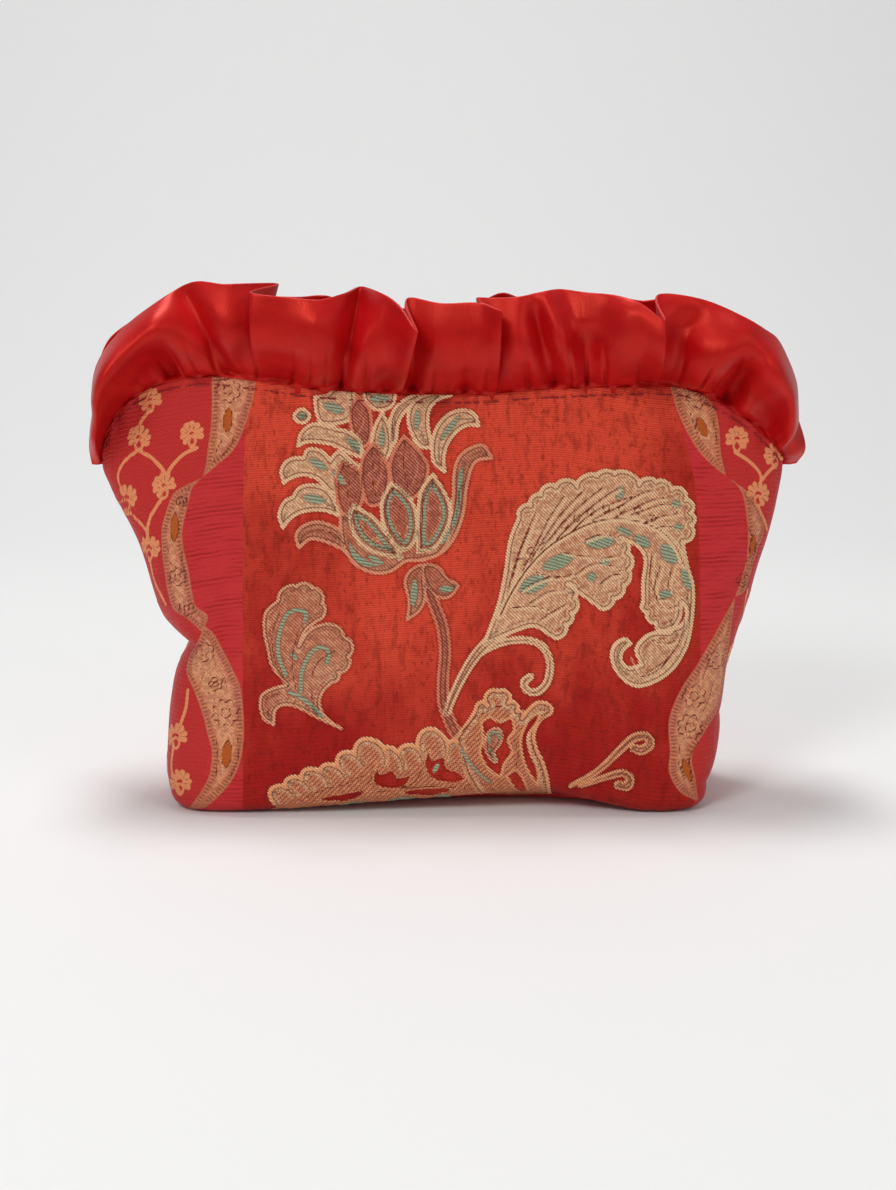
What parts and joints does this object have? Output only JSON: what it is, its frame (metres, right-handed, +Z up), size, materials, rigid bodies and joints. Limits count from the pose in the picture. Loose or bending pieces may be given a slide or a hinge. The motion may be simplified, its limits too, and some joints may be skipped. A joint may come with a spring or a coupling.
{
  "type": "makeup pouch",
  "caption": "Standing brocade makeup pouch with a boxed base, a lining, a top zip, and a gathered satin frill on each side of the mouth.",
  "frame": {"origin": "on the surface that the pouch stands on, under the middle of its whole box, frills included", "axes": "+Z up, +X along the mouth towards the closed end of the zip, -Y towards the front"},
  "size_m": [0.2097, 0.0718, 0.1542],
  "materials": {
    "brocade": "jacquard brocade, crimson and orange red ground with raised gold, rose and sage flowers",
    "satin": "red satin with a soft sheen, folded double and gathered",
    "lining_cloth": "plain woven lining",
    "tape_weave": "woven polyester zip tape",
    "coil_nylon": "moulded nylon coil",
    "gilt_metal": "bright gilt plating"
  },
  "bodies": {
    "pouch": {"front_panel": "brocade", "back_panel": "brocade", "front_lining": "lining_cloth", "back_lining": "lining_cloth", "front_frill": "satin", "back_frill": "satin", "zip_tape_front": "tape_weave", "zip_tape_back": "tape_weave", "zip_coil_front": "coil_nylon", "zip_coil_back": "coil_nylon", "zip_top_stop_front": "gilt_metal", "zip_top_stop_back": "gilt_metal", "zip_bottom_stop": "gilt_metal"},
    "slider": {"zip_slider": "gilt_metal"},
    "pull": {"zip_pull": "gilt_metal"}
  },
  "joints": [
    {"name": "zip_slide", "type": "slide", "parent": "pouch", "child": "slider", "axis": [-1, 0, 0], "range_m": [0, 0.128]},
    {"name": "pull_swing", "type": "hinge", "parent": "slider", "child": "pull", "pos_m": [0.058, 0, 0.1243], "axis": [0, 1, 0], "range_deg": [0, 165]}
  ]
}
